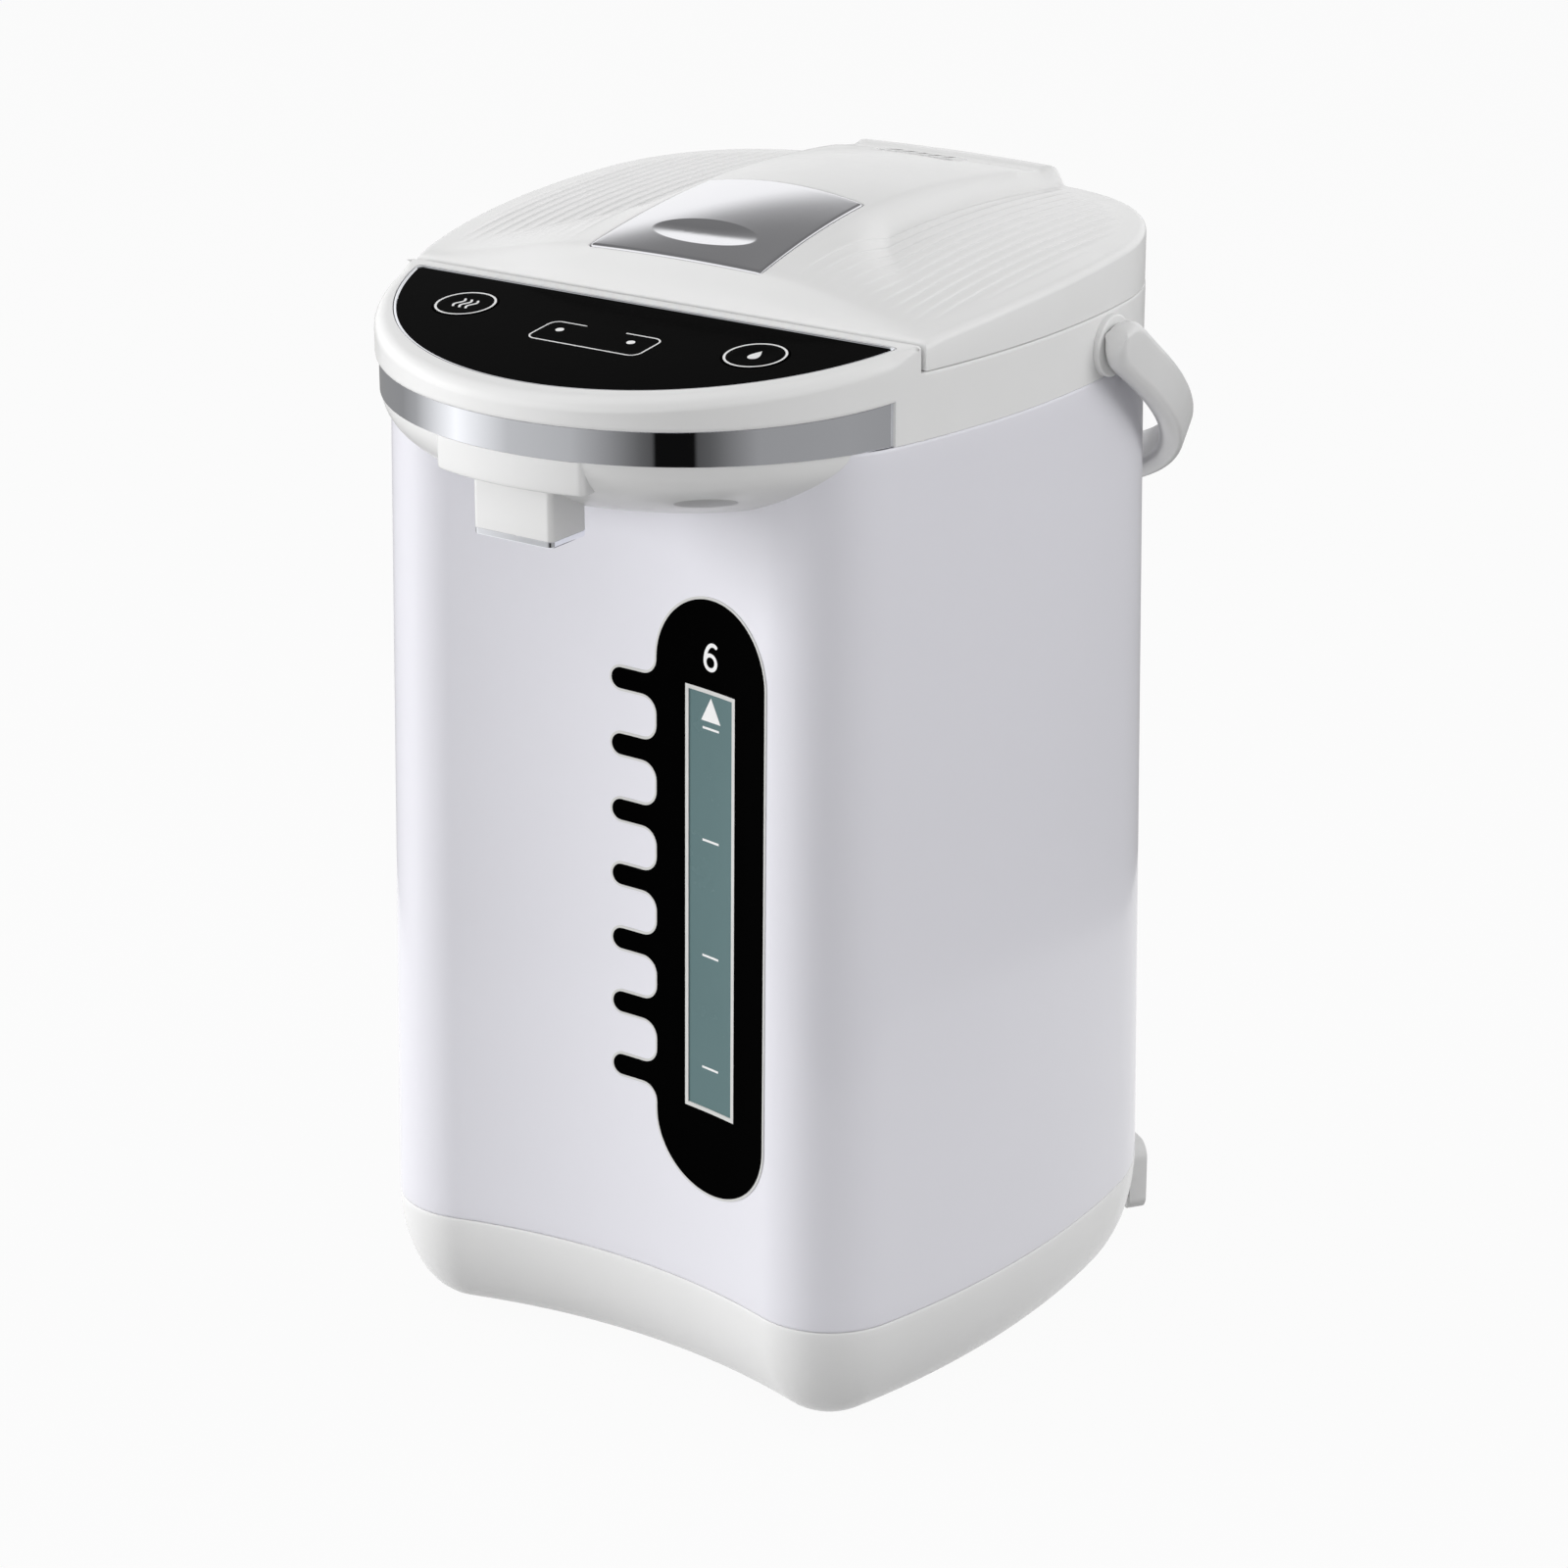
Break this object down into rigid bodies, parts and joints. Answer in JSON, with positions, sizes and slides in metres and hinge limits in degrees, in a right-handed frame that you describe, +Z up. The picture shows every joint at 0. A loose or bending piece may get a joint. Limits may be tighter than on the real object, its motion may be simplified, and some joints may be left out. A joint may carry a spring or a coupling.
{
  "type": "electric airpot",
  "caption": "Electric airpot water boiler: tapered white body, rounded control hood with a spout, level window, hinged latch lid and swinging bail handle.",
  "frame": {"origin": "centre of the bounding box on the table plane under the feet", "axes": "+Z up, -Y toward the spout and panel at the front, +X to the right seen from behind the spout"},
  "size_m": [0.2404, 0.2988, 0.4005],
  "materials": {
    "pearl_shell": "pearl white coat, satin",
    "white_plastic": "smooth white, semi-gloss",
    "chrome_trim": "mirror",
    "black_gloss": "gloss black",
    "steel": "brushed",
    "black_rubber": "matt",
    "silicone": "milky, satin",
    "lens": "clear lens",
    "circuit_board": "lacquered board",
    "dark_plastic": "dull black",
    "window_glass": "grey-green tinted",
    "tube_glass": "clear",
    "silver_plate": "satin silver"
  },
  "bodies": {
    "housing": {"outer_shell": "pearl_shell", "base_housing": "white_plastic", "chassis_plate": "steel", "bottom_cover": "white_plastic", "bottom_screws": "steel", "rubber_feet": "black_rubber", "collar": "white_plastic", "beak_underside": "white_plastic", "chrome_band": "chrome_trim", "nozzle": "white_plastic", "nozzle_trim": "chrome_trim", "control_panel": "black_gloss", "panel_bezel": "chrome_trim", "indicator_lenses": "lens", "control_board": "circuit_board", "control_board_screws": "steel", "tact_switches": "dark_plastic", "gauge_film": "black_gloss", "gauge_window": "window_glass", "sight_tube": "tube_glass", "inner_pot": "steel", "pot_floor": "steel", "pot_support": "black_rubber", "pot_seal": "silicone", "mouth_ring": "white_plastic", "heater_plate": "steel", "thermostat": "dark_plastic", "thermal_fuse": "steel", "pump_housing": "white_plastic", "pump_motor": "steel", "pump_bracket": "white_plastic", "suction_hose": "silicone", "delivery_hose": "silicone", "outlet_pipe": "silicone", "power_board": "circuit_board", "transformer": "dark_plastic", "relay": "dark_plastic", "power_board_screws": "steel", "inlet_housing": "white_plastic", "inlet_pins": "steel", "hinge_pin": "steel", "handle_pins": "steel"},
    "lid": {"lid_cover": "white_plastic", "lid_inner_plate": "steel", "lid_gasket": "silicone", "lid_screws": "steel", "steam_vent": "white_plastic", "latch_pin": "steel"},
    "latch_lever": {"latch_lever": "silver_plate"},
    "latch_bolt": {"latch_bolt": "white_plastic"},
    "handle": {"handle": "white_plastic"},
    "reboil_button": {"reboil_button": "black_gloss"},
    "dispense_button": {"dispense_button": "black_gloss"},
    "motor_rotor": {"motor_rotor": "dark_plastic"},
    "impeller": {"impeller": "dark_plastic"}
  },
  "joints": [
    {"name": "lid_hinge", "type": "hinge", "parent": "housing", "child": "lid", "pos_m": [0, 0.1243, 0.3667], "axis": [-1, 0, 0], "range_deg": [0, 95]},
    {"name": "latch_press", "type": "hinge", "parent": "lid", "child": "latch_lever", "pos_m": [0, 0.00298, 0.3871], "axis": [1, 0, 0], "range_deg": [0, 6], "stiffness_Nm_per_rad": 0.6, "springref_deg": -6.88},
    {"name": "bolt_slide", "type": "slide", "parent": "lid", "child": "latch_bolt", "axis": [0, 1, 0], "range_m": [0, 0.004]},
    {"name": "handle_swing", "type": "hinge", "parent": "housing", "child": "handle", "pos_m": [0, 0.03478, 0.355], "axis": [1, 0, 0], "range_deg": [0, 126]},
    {"name": "reboil_press", "type": "slide", "parent": "housing", "child": "reboil_button", "axis": [0, 0.1219, -0.9925], "range_m": [0, 0.0008], "stiffness_N_per_m": 800, "springref_m": -0.0006},
    {"name": "dispense_press", "type": "slide", "parent": "housing", "child": "dispense_button", "axis": [0, 0.1219, -0.9925], "range_m": [0, 0.0008], "stiffness_N_per_m": 800, "springref_m": -0.0006},
    {"name": "motor_spin", "type": "hinge", "parent": "housing", "child": "motor_rotor", "pos_m": [0.0402, -0.03702, 0.02], "axis": [0, 0, 1], "continuous": true},
    {"name": "impeller_spin", "type": "hinge", "parent": "housing", "child": "impeller", "pos_m": [0.0402, -0.03702, 0.032], "axis": [0, 0, 1], "continuous": true}
  ],
  "couplings": [
    {"joint": "bolt_slide", "follows": "latch_press", "m_per_rad": 0.038},
    {"joint": "impeller_spin", "follows": "motor_spin", "ratio": 1}
  ]
}
